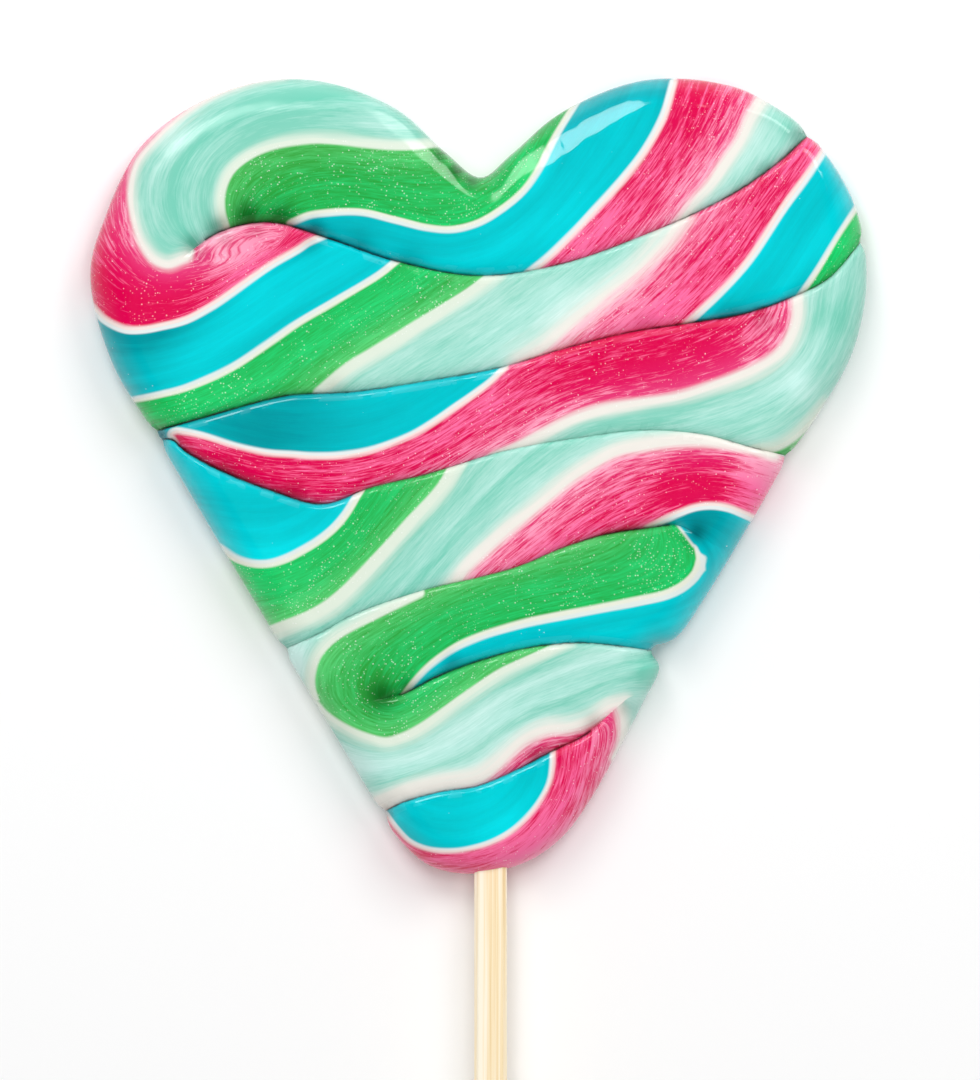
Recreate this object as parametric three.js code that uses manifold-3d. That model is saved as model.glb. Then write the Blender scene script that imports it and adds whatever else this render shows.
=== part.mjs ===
// A heart lollipop of pulled sugar on a square wooden stick.
//
// The heart is one twisted rope of striped candy. It is folded to and fro in seven rows,
// pressed flat and fused in a heart-shaped mould, so its faces show the creases where
// neighbouring rows meet, and its rim steps in a little at each crease.
//
// Millimetres. The lollipop lies on its back: +Z is the shown face, +Y points from the
// stick to the notch of the heart. The origin is under the middle of the whole thing.

import * as THREE from 'three';
import { mergeVertices } from 'three/addons/utils/BufferGeometryUtils.js';
import Module from 'manifold-3d';

// ---------------------------------------------------------------- driving dimensions

const thickness = 9;          // of the heart, between its two faces
const midHeight = thickness / 2;
const edgeReach = 3.6;        // how far in from the rim the faces round over
const edgeFullness = 2.4;     // 2 is an ellipse; more makes a squarer edge
const creaseDepth = 1.5;      // on the shown face
const backCreaseDepth = 0.7;  // on the back, which cooled on a flat slab
const creaseReach = 3;        // how far from a crease its row rounds over
const creaseFullness = 2;
const creaseFade = 3.5;       // length over which a crease dies out inside the candy
const nickDepth = 0.45;       // how far the rim steps in where two rows meet
const nickReach = 0.9;

const stickWidth = 3.9;
const stickEase = 0.5;        // flat on each long corner of the stick
const stickX = 1.5;           // the stick sits a little right of the heart's middle
const stickOut = 100;         // bare length below the heart
const stickIn = 35;           // length held inside the candy
const socketGap = 0.3;

const candyColour = 0xe8457d;
const stickColour = 0xf6e2bd;

// ---------------------------------------------------------------- mesh fineness

const rimSteps = [0.3, 0.7, 1.1, 1.5];   // next to the rim, where the face rounds over
const creaseSteps = [0.6, 1.6];          // next to a crease
const stepsAlongRow = 30;                // between its two rim zones
const columnCount = stepsAlongRow + 2 * rimSteps.length;
const longestRimStep = 4.2;              // along the short stretch of rim that ends a row
const fewestStepsAcross = 2;             // in the flat middle of a row
const shortestColumn = 1e-6;             // at the corners of the top and tip rows
const mostForEnds = 0.6;                 // of a short length, for the small steps at its ends
const outlineSamples = 480;
const creaseSamples = 90;

// ---------------------------------------------------------------- the heart in plan

// The outline, clockwise from the notch, about the middle of the heart.
const outlineKnots = [
  [0.3, 35.7], [4, 38.5], [10, 43.5], [20, 47.4], [30, 46.8], [35, 44.6], [40, 40.7],
  [45.1, 32.8], [46.7, 24], [45.1, 15], [41, 7.5], [37.3, 2.1], [33.2, -5], [27, -15.2],
  [24, -19.4], [21.3, -21.1], [21.8, -23.2], [20, -27], [13.5, -39], [10, -43.6],
  [5.5, -46.6], [-1, -47.9], [-6, -46.8], [-10, -43.1], [-11.5, -40.6], [-18.5, -29],
  [-31.5, -7.5], [-38.9, 5], [-44, 13.5], [-46.6, 24], [-45, 30.5], [-40, 40],
  [-30, 46.2], [-20, 47.4], [-10, 44], [-4, 38.8],
];

// The creases, from the heart's top to its tip. Each runs from the left rim to the right
// rim. Where the rope turns back on itself the candy is whole: wholeLeft and wholeRight
// are the lengths at that end of the line over which there is no crease.
const creaseLines = [
  {
    knots: [[-46.4, 23], [-42, 22.9], [-38, 24], [-35, 26.2], [-31, 29], [-25, 30.2],
      [-18, 28.3], [-10, 25.6], [0, 23.8], [10, 25.2], [20, 28.7], [30, 33.3],
      [36, 37.4], [39.8, 41]],
    wholeLeft: 12, wholeRight: 0,
  },
  {
    knots: [[-38.9, 5], [-34, 6.5], [-27, 8.5], [-22.5, 9.5], [-15, 9.9], [-5, 11.4],
      [3, 12.9], [10, 15], [18, 17], [25, 18.1], [32, 19.3], [38, 21.4], [42, 23.5],
      [46.2, 28]],
    wholeLeft: 0, wholeRight: 0,
  },
  {
    knots: [[-38.3, 4], [-36.8, 4.3], [-35, 2.8], [-31, 0.6], [-25, -1.8], [-18.5, -3.5],
      [-13, -1.6], [-6, 0.1], [3, 2.8], [12, 4.4], [20, 5.3], [27, 4.8], [33, 3.2],
      [37.3, 2.1]],
    wholeLeft: 0, wholeRight: 0,
  },
  {
    knots: [[-23.2, -20.9], [-19, -19], [-15, -16.8], [-10, -14.9], [-5, -13.4],
      [0, -12.3], [5, -10.9], [10, -8.8], [15, -7.2], [20, -6.4], [24, -6.1],
      [26.6, -7.5], [30.6, -9.5]],
    wholeLeft: 0, wholeRight: 5,
  },
  {
    knots: [[-19.8, -26.9], [-16, -27.4], [-12.5, -27], [-9, -26.2], [-5, -24.2],
      [0, -22.3], [6, -20.7], [12, -20.1], [17, -20.5], [21.3, -21.1]],
    wholeLeft: 7, wholeRight: 0,
  },
  {
    knots: [[-11.5, -40.6], [-9, -39.2], [-4.5, -37.9], [0, -37.2], [5, -35.1], [9, -33],
      [13, -31], [16.6, -27.8], [18.4, -26.5], [20.4, -26.3]],
    wholeLeft: 0, wholeRight: 5,
  },
];

// ---------------------------------------------------------------- lines in the plane

// A line is its points and, for each point, the length along the line up to it.
function measured(points) {
  const lengths = [0];
  for (let i = 1; i < points.length; i += 1) {
    lengths.push(lengths[i - 1] + points[i].distanceTo(points[i - 1]));
  }
  return { points, lengths, length: lengths.at(-1) };
}

function smoothLine(knots, samples, closed = false) {
  const places = knots.map(([x, y]) => new THREE.Vector3(x, y, 0));
  const curve = new THREE.CatmullRomCurve3(places, closed, 'centripetal');
  return measured(curve.getSpacedPoints(samples).map((p) => new THREE.Vector2(p.x, p.y)));
}

function pointAlong(line, along) {
  const last = line.points.length - 1;
  let i = 1;
  while (i < last && line.lengths[i] < along) i += 1;
  const share = (along - line.lengths[i - 1]) / (line.lengths[i] - line.lengths[i - 1]);
  return new THREE.Vector2().lerpVectors(line.points[i - 1], line.points[i], share);
}

// The nearest place on a line: how far away it is, and how far along the line.
function nearestOn(line, place) {
  const best = { distance: Infinity, along: 0 };
  for (let i = 1; i < line.points.length; i += 1) {
    const start = line.points[i - 1];
    const run = line.points[i].clone().sub(start);
    const share = THREE.MathUtils.clamp(place.clone().sub(start).dot(run) / run.lengthSq(), 0, 1);
    const distance = start.clone().addScaledVector(run, share).distanceTo(place);
    if (distance < best.distance) {
      best.distance = distance;
      best.along = line.lengths[i - 1] + share * run.length();
    }
  }
  return best;
}

// The stretch of a closed line from one length along it to another, always forwards.
function stretchOf(line, from, to) {
  const end = to > from ? to : to + line.length;
  const inside = [];
  for (let turn = 0; turn < 2; turn += 1) {
    line.points.slice(1).forEach((point, i) => {
      const along = line.lengths[i + 1] + turn * line.length;
      if (along > from && along < end) inside.push(point);
    });
  }
  return measured([pointAlong(line, from), ...inside, pointAlong(line, to)]);
}

const reversed = (line) => measured([...line.points].reverse());

// ---------------------------------------------------------------- outline and creases

const smoothOutline = smoothLine(outlineKnots, outlineSamples, true);

// The rim steps in where two rows meet: points near such a place move towards the inside.
function nicked(outline, places) {
  const inwards = (i) => {
    const before = outline.points.at(i - 1);
    const after = outline.points[(i + 1) % outline.points.length];
    const run = after.clone().sub(before).normalize();
    return new THREE.Vector2(run.y, -run.x);
  };
  const points = outline.points.slice(0, -1).map((point, i) => {
    const away = Math.min(...places.map((place) => place.distanceTo(point)));
    const stepIn = nickDepth * Math.exp(-((away / nickReach) ** 2));
    return point.clone().addScaledVector(inwards(i), stepIn);
  });
  return measured([...points, points[0]]);
}

const openRimEnds = creaseLines.flatMap(({ knots, wholeLeft, wholeRight }) => [
  ...(wholeLeft ? [] : [new THREE.Vector2(...knots[0])]),
  ...(wholeRight ? [] : [new THREE.Vector2(...knots.at(-1))]),
]);
const outline = nicked(smoothOutline, openRimEnds);

// Each crease line is pulled to the rim at both ends.
const creases = creaseLines.map(({ knots, wholeLeft, wholeRight }) => {
  const ends = [knots[0], knots.at(-1)].map(([x, y]) => (
    nearestOn(outline, new THREE.Vector2(x, y)).along));
  const places = ends.map((along) => pointAlong(outline, along).toArray());
  const line = smoothLine([places[0], ...knots.slice(1, -1), places[1]], creaseSamples);
  return { line, leftOnRim: ends[0], rightOnRim: ends[1], wholeLeft, wholeRight };
});

// ---------------------------------------------------------------- heights of the faces

// Rises from 0 at the edge to 1 at its reach, as a rounded shoulder.
function shoulder(distance, reach, fullness) {
  const inwards = THREE.MathUtils.clamp(1 - distance / reach, 0, 1);
  return (1 - inwards ** fullness) ** (1 / fullness);
}

// How much of its full depth a crease has at a length along its line.
function creaseStrength(crease, along) {
  const fade = (whole, run) => (whole ? THREE.MathUtils.smoothstep(run, whole, whole + creaseFade) : 1);
  return fade(crease.wholeLeft, along) * fade(crease.wholeRight, crease.line.length - along);
}

function creaseShare(place) {
  return Math.max(...creases.map((crease) => {
    const { distance, along } = nearestOn(crease.line, place);
    return (1 - shoulder(distance, creaseReach, creaseFullness)) * creaseStrength(crease, along);
  }));
}

// The two faces mirror each other about the middle of the thickness, creases apart.
function faceHeights(place, onRim) {
  if (onRim) return { top: midHeight, bottom: midHeight };
  const edge = shoulder(nearestOn(outline, place).distance, edgeReach, edgeFullness);
  const crease = creaseShare(place);
  return {
    top: midHeight + edge * (midHeight - crease * creaseDepth),
    bottom: midHeight - edge * (midHeight - crease * backCreaseDepth),
  };
}

// ---------------------------------------------------------------- rows as grids

// Shares of a length: small steps next to both ends and equal steps between them.
function stepShares(length, firstSteps, lastSteps, between) {
  const total = (steps) => steps.reduce((sum, step) => sum + step, 0);
  const endsLength = total(firstSteps) + total(lastSteps);
  const squeeze = Math.min(1, (mostForEnds * length) / endsLength);
  const middle = (length - squeeze * endsLength) / between;
  const steps = [
    ...firstSteps.map((step) => step * squeeze),
    ...Array(between).fill(middle),
    ...lastSteps.map((step) => step * squeeze).reverse(),
  ];
  const shares = [0];
  steps.forEach((step) => shares.push(shares.at(-1) + step / length));
  shares[shares.length - 1] = 1;
  return shares;
}

// A line's own shares: finer towards its ends, or even where it is itself a piece of rim.
function columnShares(line, isRim) {
  if (!isRim) return stepShares(line.length, rimSteps, rimSteps, stepsAlongRow);
  return Array.from({ length: columnCount + 1 }, (_, i) => i / columnCount);
}

const atShare = (line, share) => pointAlong(line, share * line.length);

// Moves a place with the bend of the rim at one end of its row, less so further from it.
function bendToRim(place, side, share, weight) {
  if (!side) return;
  const straight = side.points[0].clone().lerp(side.points.at(-1), share);
  place.addScaledVector(atShare(side, share).sub(straight), weight);
}

// One column of a row, from its lower line to its upper one. `across` is its share of the
// way from the row's left end to its right end.
function rowColumn(row, low, high, across) {
  const length = Math.max(low.distanceTo(high), shortestColumn);
  const shares = stepShares(length, row.lowerSteps, row.upperSteps, row.stepsBetween);
  const last = shares.length - 1;
  return shares.map((share, j) => {
    const place = low.clone().lerp(high, share);
    if (j > 0 && j < last) {
      bendToRim(place, row.left, share, 1 - across);
      bendToRim(place, row.right, share, across);
    }
    const onRowEnd = across === 0 || across === 1;
    const onLongSide = (j === 0 && row.rimBelow) || (j === last && row.rimAbove);
    return { place, onRim: onRowEnd || onLongSide };
  });
}

function rowGrid(row) {
  const lowerShares = columnShares(row.lower, row.rimBelow);
  const upperShares = columnShares(row.upper, row.rimAbove);
  return lowerShares.map((lowerShare, i) => rowColumn(
    row,
    atShare(row.lower, lowerShare),
    atShare(row.upper, upperShares[i]),
    (lowerShare + upperShares[i]) / 2,
  ));
}

// The rows from top to tip. The first and last have rim for one of their long sides; the
// others lie between two creases and have a short stretch of rim at both ends.
function allRows() {
  const edges = creases.map(({ line }) => line);
  const top = {
    lower: edges[0],
    upper: stretchOf(outline, creases[0].leftOnRim, creases[0].rightOnRim),
    lowerSteps: creaseSteps,
    upperSteps: rimSteps,
    stepsBetween: fewestStepsAcross,
    rimAbove: true,
  };
  const tip = {
    lower: reversed(stretchOf(outline, creases.at(-1).rightOnRim, creases.at(-1).leftOnRim)),
    upper: edges.at(-1),
    lowerSteps: rimSteps,
    upperSteps: creaseSteps,
    stepsBetween: fewestStepsAcross,
    rimBelow: true,
  };
  const between = creases.slice(1).map((below, k) => {
    const above = creases[k];
    const left = stretchOf(outline, below.leftOnRim, above.leftOnRim);
    const right = reversed(stretchOf(outline, above.rightOnRim, below.rightOnRim));
    const longest = Math.max(left.length, right.length);
    return {
      lower: below.line,
      upper: above.line,
      left,
      right,
      lowerSteps: creaseSteps,
      upperSteps: creaseSteps,
      stepsBetween: Math.max(fewestStepsAcross, Math.round(longest / longestRimStep) - 1),
    };
  });
  return [top, ...between, tip].map(rowGrid);
}

// ---------------------------------------------------------------- solids

// Two triangles for each grid cell, once for the top face and once, turned over, below.
function heartGeometry() {
  const positions = [];
  const addTriangle = (corners) => {
    const [a, b, c] = corners;
    const flat = a.equals(b) || b.equals(c) || c.equals(a);
    if (!flat) corners.forEach((corner) => positions.push(corner.x, corner.y, corner.z));
  };
  const addCell = (corners, height) => {
    const [a, b, c, d] = corners.map(({ place, heights }) => (
      new THREE.Vector3(place.x, place.y, heights[height])));
    if (a.distanceTo(c) < b.distanceTo(d)) {
      addTriangle([a, b, c]);
      addTriangle([a, c, d]);
    } else {
      addTriangle([a, b, d]);
      addTriangle([b, c, d]);
    }
  };
  allRows().forEach((grid) => {
    grid.flat().forEach((point) => {
      point.heights = faceHeights(point.place, point.onRim);
    });
    for (let i = 1; i < grid.length; i += 1) {
      for (let j = 1; j < grid[i].length; j += 1) {
        const ring = [grid[i - 1][j - 1], grid[i][j - 1], grid[i][j], grid[i - 1][j]];
        addCell(ring, 'top');
        addCell([...ring].reverse(), 'bottom');
      }
    }
  });
  const geometry = new THREE.BufferGeometry();
  geometry.setAttribute('position', new THREE.Float32BufferAttribute(positions, 3));
  return geometry;
}

// A square bar with eased corners, lying along Y from its lower end.
function barGeometry(width, ease, length) {
  const half = width / 2;
  const section = new THREE.Shape([
    [half, ease - half], [half, half - ease], [half - ease, half], [ease - half, half],
    [-half, half - ease], [-half, ease - half], [ease - half, -half], [half - ease, -half],
  ].map(([x, y]) => new THREE.Vector2(x, y)));
  const bar = new THREE.ExtrudeGeometry(section, { depth: length, bevelEnabled: false });
  return bar.rotateX(-Math.PI / 2).translate(stickX, 0, midHeight);
}

// ---------------------------------------------------------------- cutting

const manifold = await Module();
manifold.setup();

function toSolid(geometry) {
  const bare = geometry.clone();
  ['normal', 'uv'].forEach((name) => bare.deleteAttribute(name));
  const merged = mergeVertices(bare, 1e-4);
  return new manifold.Manifold(new manifold.Mesh({
    numProp: 3,
    vertProperties: new Float32Array(merged.attributes.position.array),
    triVerts: new Uint32Array(merged.index.array),
  }));
}

function toGeometry(solid) {
  const mesh = solid.getMesh();
  const geometry = new THREE.BufferGeometry();
  geometry.setAttribute('position', new THREE.BufferAttribute(mesh.vertProperties, 3));
  geometry.setIndex(new THREE.BufferAttribute(mesh.triVerts, 1));
  return geometry;
}

// ---------------------------------------------------------------- the lollipop

const heartTip = Math.min(...outline.points.map(({ y }) => y));

// The heart is solid but for the blind socket that the stick fills.
function makeHeart() {
  const socket = barGeometry(stickWidth + 2 * socketGap, stickEase, stickOut + stickIn + socketGap);
  socket.translate(0, heartTip - stickOut, 0);
  const candy = new THREE.MeshStandardMaterial({ color: candyColour, roughness: 0.12, metalness: 0 });
  const heart = new THREE.Mesh(toGeometry(toSolid(heartGeometry()).subtract(toSolid(socket))), candy);
  heart.name = 'candy_heart';
  return heart;
}

function makeStick() {
  const wood = new THREE.MeshStandardMaterial({ color: stickColour, roughness: 0.7, metalness: 0 });
  const stick = new THREE.Mesh(barGeometry(stickWidth, stickEase, stickOut + stickIn), wood);
  stick.name = 'stick';
  stick.position.y = heartTip - stickOut;
  return stick;
}

const lollipop = new THREE.Group();
lollipop.add(makeHeart(), makeStick());

const middle = new THREE.Box3().setFromObject(lollipop).getCenter(new THREE.Vector3());
lollipop.position.set(-middle.x, -middle.y, 0);

export default lollipop;
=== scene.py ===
# %% [markdown]
# # A heart lollipop of pulled sugar
#
# This notebook dresses a lollipop: a heart of hard candy on a square wooden stick. The heart
# is one twisted rope of striped sugar, folded to and fro in seven rows and pressed flat in a
# heart-shaped mould while it was warm. The rows fused, but creases show where they meet.
#
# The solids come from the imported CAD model, which fixes every size and place. Blender adds
# what a solid can't hold: the fine relief of the faces, the swirling stripes, the gloss, the
# wood grain and the light.

# %% Load the fixed frame
import math

import bpy
import numpy as np
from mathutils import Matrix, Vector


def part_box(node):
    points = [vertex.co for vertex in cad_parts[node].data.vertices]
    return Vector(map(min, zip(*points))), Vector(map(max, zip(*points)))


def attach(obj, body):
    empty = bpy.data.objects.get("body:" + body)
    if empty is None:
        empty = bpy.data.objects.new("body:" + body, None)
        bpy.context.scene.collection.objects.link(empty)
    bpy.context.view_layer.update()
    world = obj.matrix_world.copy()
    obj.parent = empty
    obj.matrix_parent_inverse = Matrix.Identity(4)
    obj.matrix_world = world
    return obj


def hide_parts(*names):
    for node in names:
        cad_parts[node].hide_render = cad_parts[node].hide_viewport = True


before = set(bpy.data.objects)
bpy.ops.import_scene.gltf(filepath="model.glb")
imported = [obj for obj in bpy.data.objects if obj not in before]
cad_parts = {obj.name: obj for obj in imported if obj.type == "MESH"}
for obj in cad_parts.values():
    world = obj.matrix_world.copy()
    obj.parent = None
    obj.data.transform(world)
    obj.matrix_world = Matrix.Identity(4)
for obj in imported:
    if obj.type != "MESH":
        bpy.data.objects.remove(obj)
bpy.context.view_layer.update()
MM = 0.001
heart_low, heart_high = (np.array(corner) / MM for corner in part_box("candy_heart"))
stick_low, stick_high = (np.array(corner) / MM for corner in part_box("stick"))
print("heart", heart_high - heart_low, "mm; stick", stick_high - stick_low, "mm")

# %% [markdown]
# ## Smooth lines in the plane
#
# The outline, the creases and the stripes are all smooth lines through a few knots. Blender's
# own curve objects could hold them, but the candy's surface has to be measured against them at
# thousands of places, so they are kept as plain arrays of points. A centripetal Catmull-Rom
# line passes through its knots without the small loops that other splines make at uneven ones.
# Everything here is in millimetres from the middle of the heart.

# %% A smooth line through knots
def catmull_rom(knots, closed=False, per_span=24):
    knots = np.array(knots, float)
    if closed:
        before, after = np.roll(knots, 1, 0), np.roll(knots, -1, 0)
        beyond = np.roll(knots, -2, 0)
        spans = (before, knots, after, beyond)
    else:
        first, last = 2 * knots[0] - knots[1], 2 * knots[-1] - knots[-2]
        all_knots = np.vstack([first, knots, last])
        spans = (all_knots[:-3], all_knots[1:-2], all_knots[2:-1], all_knots[3:])
    a, b, c, d = spans
    gap_ab, gap_bc, gap_cd = (
        np.sqrt(np.linalg.norm(q - p, axis=1))[:, None] for p, q in ((a, b), (b, c), (c, d)))
    pull_b = ((b - a) / gap_ab - (c - a) / (gap_ab + gap_bc) + (c - b) / gap_bc) * gap_bc
    pull_c = ((c - b) / gap_bc - (d - b) / (gap_bc + gap_cd) + (d - c) / gap_cd) * gap_bc
    t = (np.arange(per_span) / per_span)[:, None, None]
    points = (b + pull_b * t + (3 * (c - b) - 2 * pull_b - pull_c) * t**2
              + (2 * (b - c) + pull_b + pull_c) * t**3)
    points = points.transpose(1, 0, 2).reshape(-1, 2)
    return np.vstack([points, knots[:1] if closed else knots[-1:]])


# %% Lengths and places along a line
def lengths_of(line):
    return np.concatenate([[0], np.cumsum(np.linalg.norm(np.diff(line, axis=0), axis=1))])


def place_at(line, along):
    lengths = lengths_of(line)
    return np.stack([np.interp(along, lengths, line[:, k]) for k in (0, 1)], axis=-1)


def evenly(line, count):
    return place_at(line, np.linspace(0, lengths_of(line)[-1], count + 1))


# %% The nearest place on a line
BATCH = 3000           # places measured at once, so that the arrays stay small


def nearest_on(line, places):
    """For each place: how far the line is, how far along it, and the side, +1 on its right."""
    start, run = line[:-1], np.diff(line, axis=0)
    squared = (run**2).sum(1)
    lengths = lengths_of(line)
    found = []
    for some in np.array_split(places, 1 + len(places) // BATCH):
        offset = some[:, None] - start
        share = np.clip((offset * run).sum(2) / squared, 0, 1)
        gap = ((offset - share[..., None] * run) ** 2).sum(2)
        best = gap.argmin(1)
        row = np.arange(len(some))
        near_offset, near_run = offset[row, best], run[best]
        side = np.sign(near_run[:, 1] * near_offset[:, 0] - near_run[:, 0] * near_offset[:, 1])
        along = lengths[best] + share[row, best] * np.sqrt(squared[best])
        found.append(np.stack([np.sqrt(gap[row, best]), along, side], axis=1))
    return np.concatenate(found).T


# %% [markdown]
# ## The outline and the creases
#
# The mould gives the outline. The rope's rows give six creases, from the heart's top to its
# tip, which run from the left rim to the right rim. Where the rope turns back on itself the
# candy is whole, so a crease starts a little way in from that rim. These are the same knots
# and sizes that the solids were made from, so the fine surface lies on the plain one.

# %% Knots of the outline, clockwise from the notch
OUTLINE_KNOTS = [
    (0.3, 35.7), (4, 38.5), (10, 43.5), (20, 47.4), (30, 46.8), (35, 44.6), (40, 40.7),
    (45.1, 32.8), (46.7, 24), (45.1, 15), (41, 7.5), (37.3, 2.1), (33.2, -5), (27, -15.2),
    (24, -19.4), (21.3, -21.1), (21.8, -23.2), (20, -27), (13.5, -39), (10, -43.6),
    (5.5, -46.6), (-1, -47.9), (-6, -46.8), (-10, -43.1), (-11.5, -40.6), (-18.5, -29),
    (-31.5, -7.5), (-38.9, 5), (-44, 13.5), (-46.6, 24), (-45, 30.5), (-40, 40),
    (-30, 46.2), (-20, 47.4), (-10, 44), (-4, 38.8),
]

# %% Knots of the creases, with the whole lengths at their left and right ends
CREASE_KNOTS = [
    ([(-46.4, 23), (-42, 22.9), (-38, 24), (-35, 26.2), (-31, 29), (-25, 30.2), (-18, 28.3),
      (-10, 25.6), (0, 23.8), (10, 25.2), (20, 28.7), (30, 33.3), (36, 37.4), (39.8, 41)],
     12, 0),
    ([(-38.9, 5), (-34, 6.5), (-27, 8.5), (-22.5, 9.5), (-15, 9.9), (-5, 11.4), (3, 12.9),
      (10, 15), (18, 17), (25, 18.1), (32, 19.3), (38, 21.4), (42, 23.5), (46.2, 28)],
     0, 0),
    ([(-38.3, 4), (-36.8, 4.3), (-35, 2.8), (-31, 0.6), (-25, -1.8), (-18.5, -3.5),
      (-13, -1.6), (-6, 0.1), (3, 2.8), (12, 4.4), (20, 5.3), (27, 4.8), (33, 3.2),
      (37.3, 2.1)],
     0, 0),
    ([(-23.2, -20.9), (-19, -19), (-15, -16.8), (-10, -14.9), (-5, -13.4), (0, -12.3),
      (5, -10.9), (10, -8.8), (15, -7.2), (20, -6.4), (24, -6.1), (26.6, -7.5),
      (30.6, -9.5)],
     0, 5),
    ([(-19.8, -26.9), (-16, -27.4), (-12.5, -27), (-9, -26.2), (-5, -24.2), (0, -22.3),
      (6, -20.7), (12, -20.1), (17, -20.5), (21.3, -21.1)],
     7, 0),
    ([(-11.5, -40.6), (-9, -39.2), (-4.5, -37.9), (0, -37.2), (5, -35.1), (9, -33),
      (13, -31), (16.6, -27.8), (18.4, -26.5), (20.4, -26.3)],
     0, 5),
]
CREASE_FADE = 3.5      # length over which a crease dies out inside the candy

# %% How deep each crease is along its run
# Pairs of a share of its length and a depth in mm.
CREASE_DEPTHS = [
    [(0, 0.9), (0.3, 1.3), (0.45, 1.0), (0.6, 0.7), (0.72, 0.6), (0.85, 0.9), (1, 1.1)],
    [(0, 1.3), (0.15, 1.0), (0.35, 0.7), (0.5, 0.7), (0.65, 1.0), (0.8, 1.2), (0.92, 0.8), (1, 0.8)],
    [(0, 1.2), (0.25, 1.0), (0.4, 0.7), (0.6, 0.4), (0.85, 0.4), (1, 0.8)],
    [(0, 0.5), (0.2, 0.4), (0.6, 0.6), (0.8, 1.3), (1, 1.3)],
    [(0, 1.0), (0.4, 1.2), (0.6, 0.9), (1, 0.8)],
    [(0, 0.9), (0.2, 0.6), (0.45, 0.7), (0.6, 1.0), (0.8, 1.2), (1, 0.9)],
]

# %% The outline, stepping in a little where two rows meet
NICK_DEPTH, NICK_REACH = 0.45, 0.9
RIM_POINTS, CREASE_POINTS = 960, 120
mould_line = evenly(catmull_rom(OUTLINE_KNOTS, closed=True), RIM_POINTS)
open_ends = [knots[0] for knots, whole_left, _ in CREASE_KNOTS if not whole_left]
open_ends += [knots[-1] for knots, _, whole_right in CREASE_KNOTS if not whole_right]
ring = mould_line[:-1]
run = np.roll(ring, -1, 0) - np.roll(ring, 1, 0)
inwards = np.stack([run[:, 1], -run[:, 0]], axis=1) / np.linalg.norm(run, axis=1)[:, None]
away = np.min([np.linalg.norm(ring - end, axis=1) for end in open_ends], axis=0)
ring = ring + inwards * NICK_DEPTH * np.exp(-((away / NICK_REACH) ** 2))[:, None]
outline = np.vstack([ring, ring[:1]])
print("outline", np.ptp(outline, axis=0).round(2), "mm")

# %% Creases pulled to the rim at both ends
def rim_length_at(place):
    return nearest_on(outline, np.array([place], float))[1][0]


creases = []
for knots, whole_left, whole_right in CREASE_KNOTS:
    ends = [rim_length_at(knots[0]), rim_length_at(knots[-1])]
    left_end, right_end = place_at(outline, np.array(ends))
    line = evenly(catmull_rom([left_end, *knots[1:-1], right_end]), CREASE_POINTS)
    creases.append({"line": line, "ends": ends, "whole": (whole_left, whole_right)})
print(len(creases), "creases,", [round(lengths_of(c["line"])[-1]) for c in creases], "mm")

# %% How strong a crease is along its length
def smoothstep(value, low, high):
    """0 up to low and 1 from high, with a smooth rise between them."""
    share = np.clip((value - low) / (high - low), 0, 1)
    return share * share * (3 - 2 * share)


def strength_along(crease, along):
    strength = np.ones_like(along)
    total = lengths_of(crease["line"])[-1]
    for whole, run_in in zip(crease["whole"], (along, total - along)):
        if whole:
            strength *= smoothstep(run_in, whole, whole + CREASE_FADE)
    return strength


# %% [markdown]
# ## A grid for each row
#
# The candy's face is built as seven grids of quads, one for each row of the rope, so that
# edges run exactly along the creases. Sculpting or a displaced plane would smear a crease over
# whole faces. The grids are finest next to the rim and the creases, where the face rounds
# over, and both faces of the heart use the same grids.

# %% Steps across a row and along it
RIM_STEPS = np.array([0.02, 0.05, 0.1, 0.17, 0.25, 0.35, 0.45, 0.5, 0.55])
CREASE_STEPS = np.array([0.06, 0.1, 0.14, 0.18, 0.24, 0.36])
STEP_ACROSS = 0.64
STEPS_ALONG = 156
COLUMNS = STEPS_ALONG + 2 * len(RIM_STEPS)
MOST_FOR_ENDS = 0.6        # of a short length, for the small steps at its ends
SHORTEST = 1e-6


def step_shares(lengths, first, last, between):
    """Shares of each length: small steps at both ends and equal ones between them."""
    lengths = np.maximum(lengths, SHORTEST)[:, None]
    small = first.sum() + last.sum()
    squeeze = np.minimum(1, MOST_FOR_ENDS * lengths / small)
    middle = np.repeat((lengths - squeeze * small) / between, between, axis=1)
    steps = np.hstack([squeeze * first, middle, squeeze * last[::-1]])
    shares = np.cumsum(steps, axis=1) / lengths
    shares[:, -1] = 1
    return np.hstack([np.zeros((len(lengths), 1)), shares])


# %% One row as a grid of places
def along_edge(line, is_rim):
    total = lengths_of(line)[-1]
    if is_rim:
        return np.linspace(0, 1, COLUMNS + 1)
    return step_shares(np.array([total]), RIM_STEPS, RIM_STEPS, STEPS_ALONG)[0]


def bend_of(side, shares):
    """How far the rim at a row's end bends away from a straight line."""
    total = lengths_of(side)[-1]
    return place_at(side, shares * total) - (side[0] + shares[..., None] * (side[-1] - side[0]))


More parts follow.
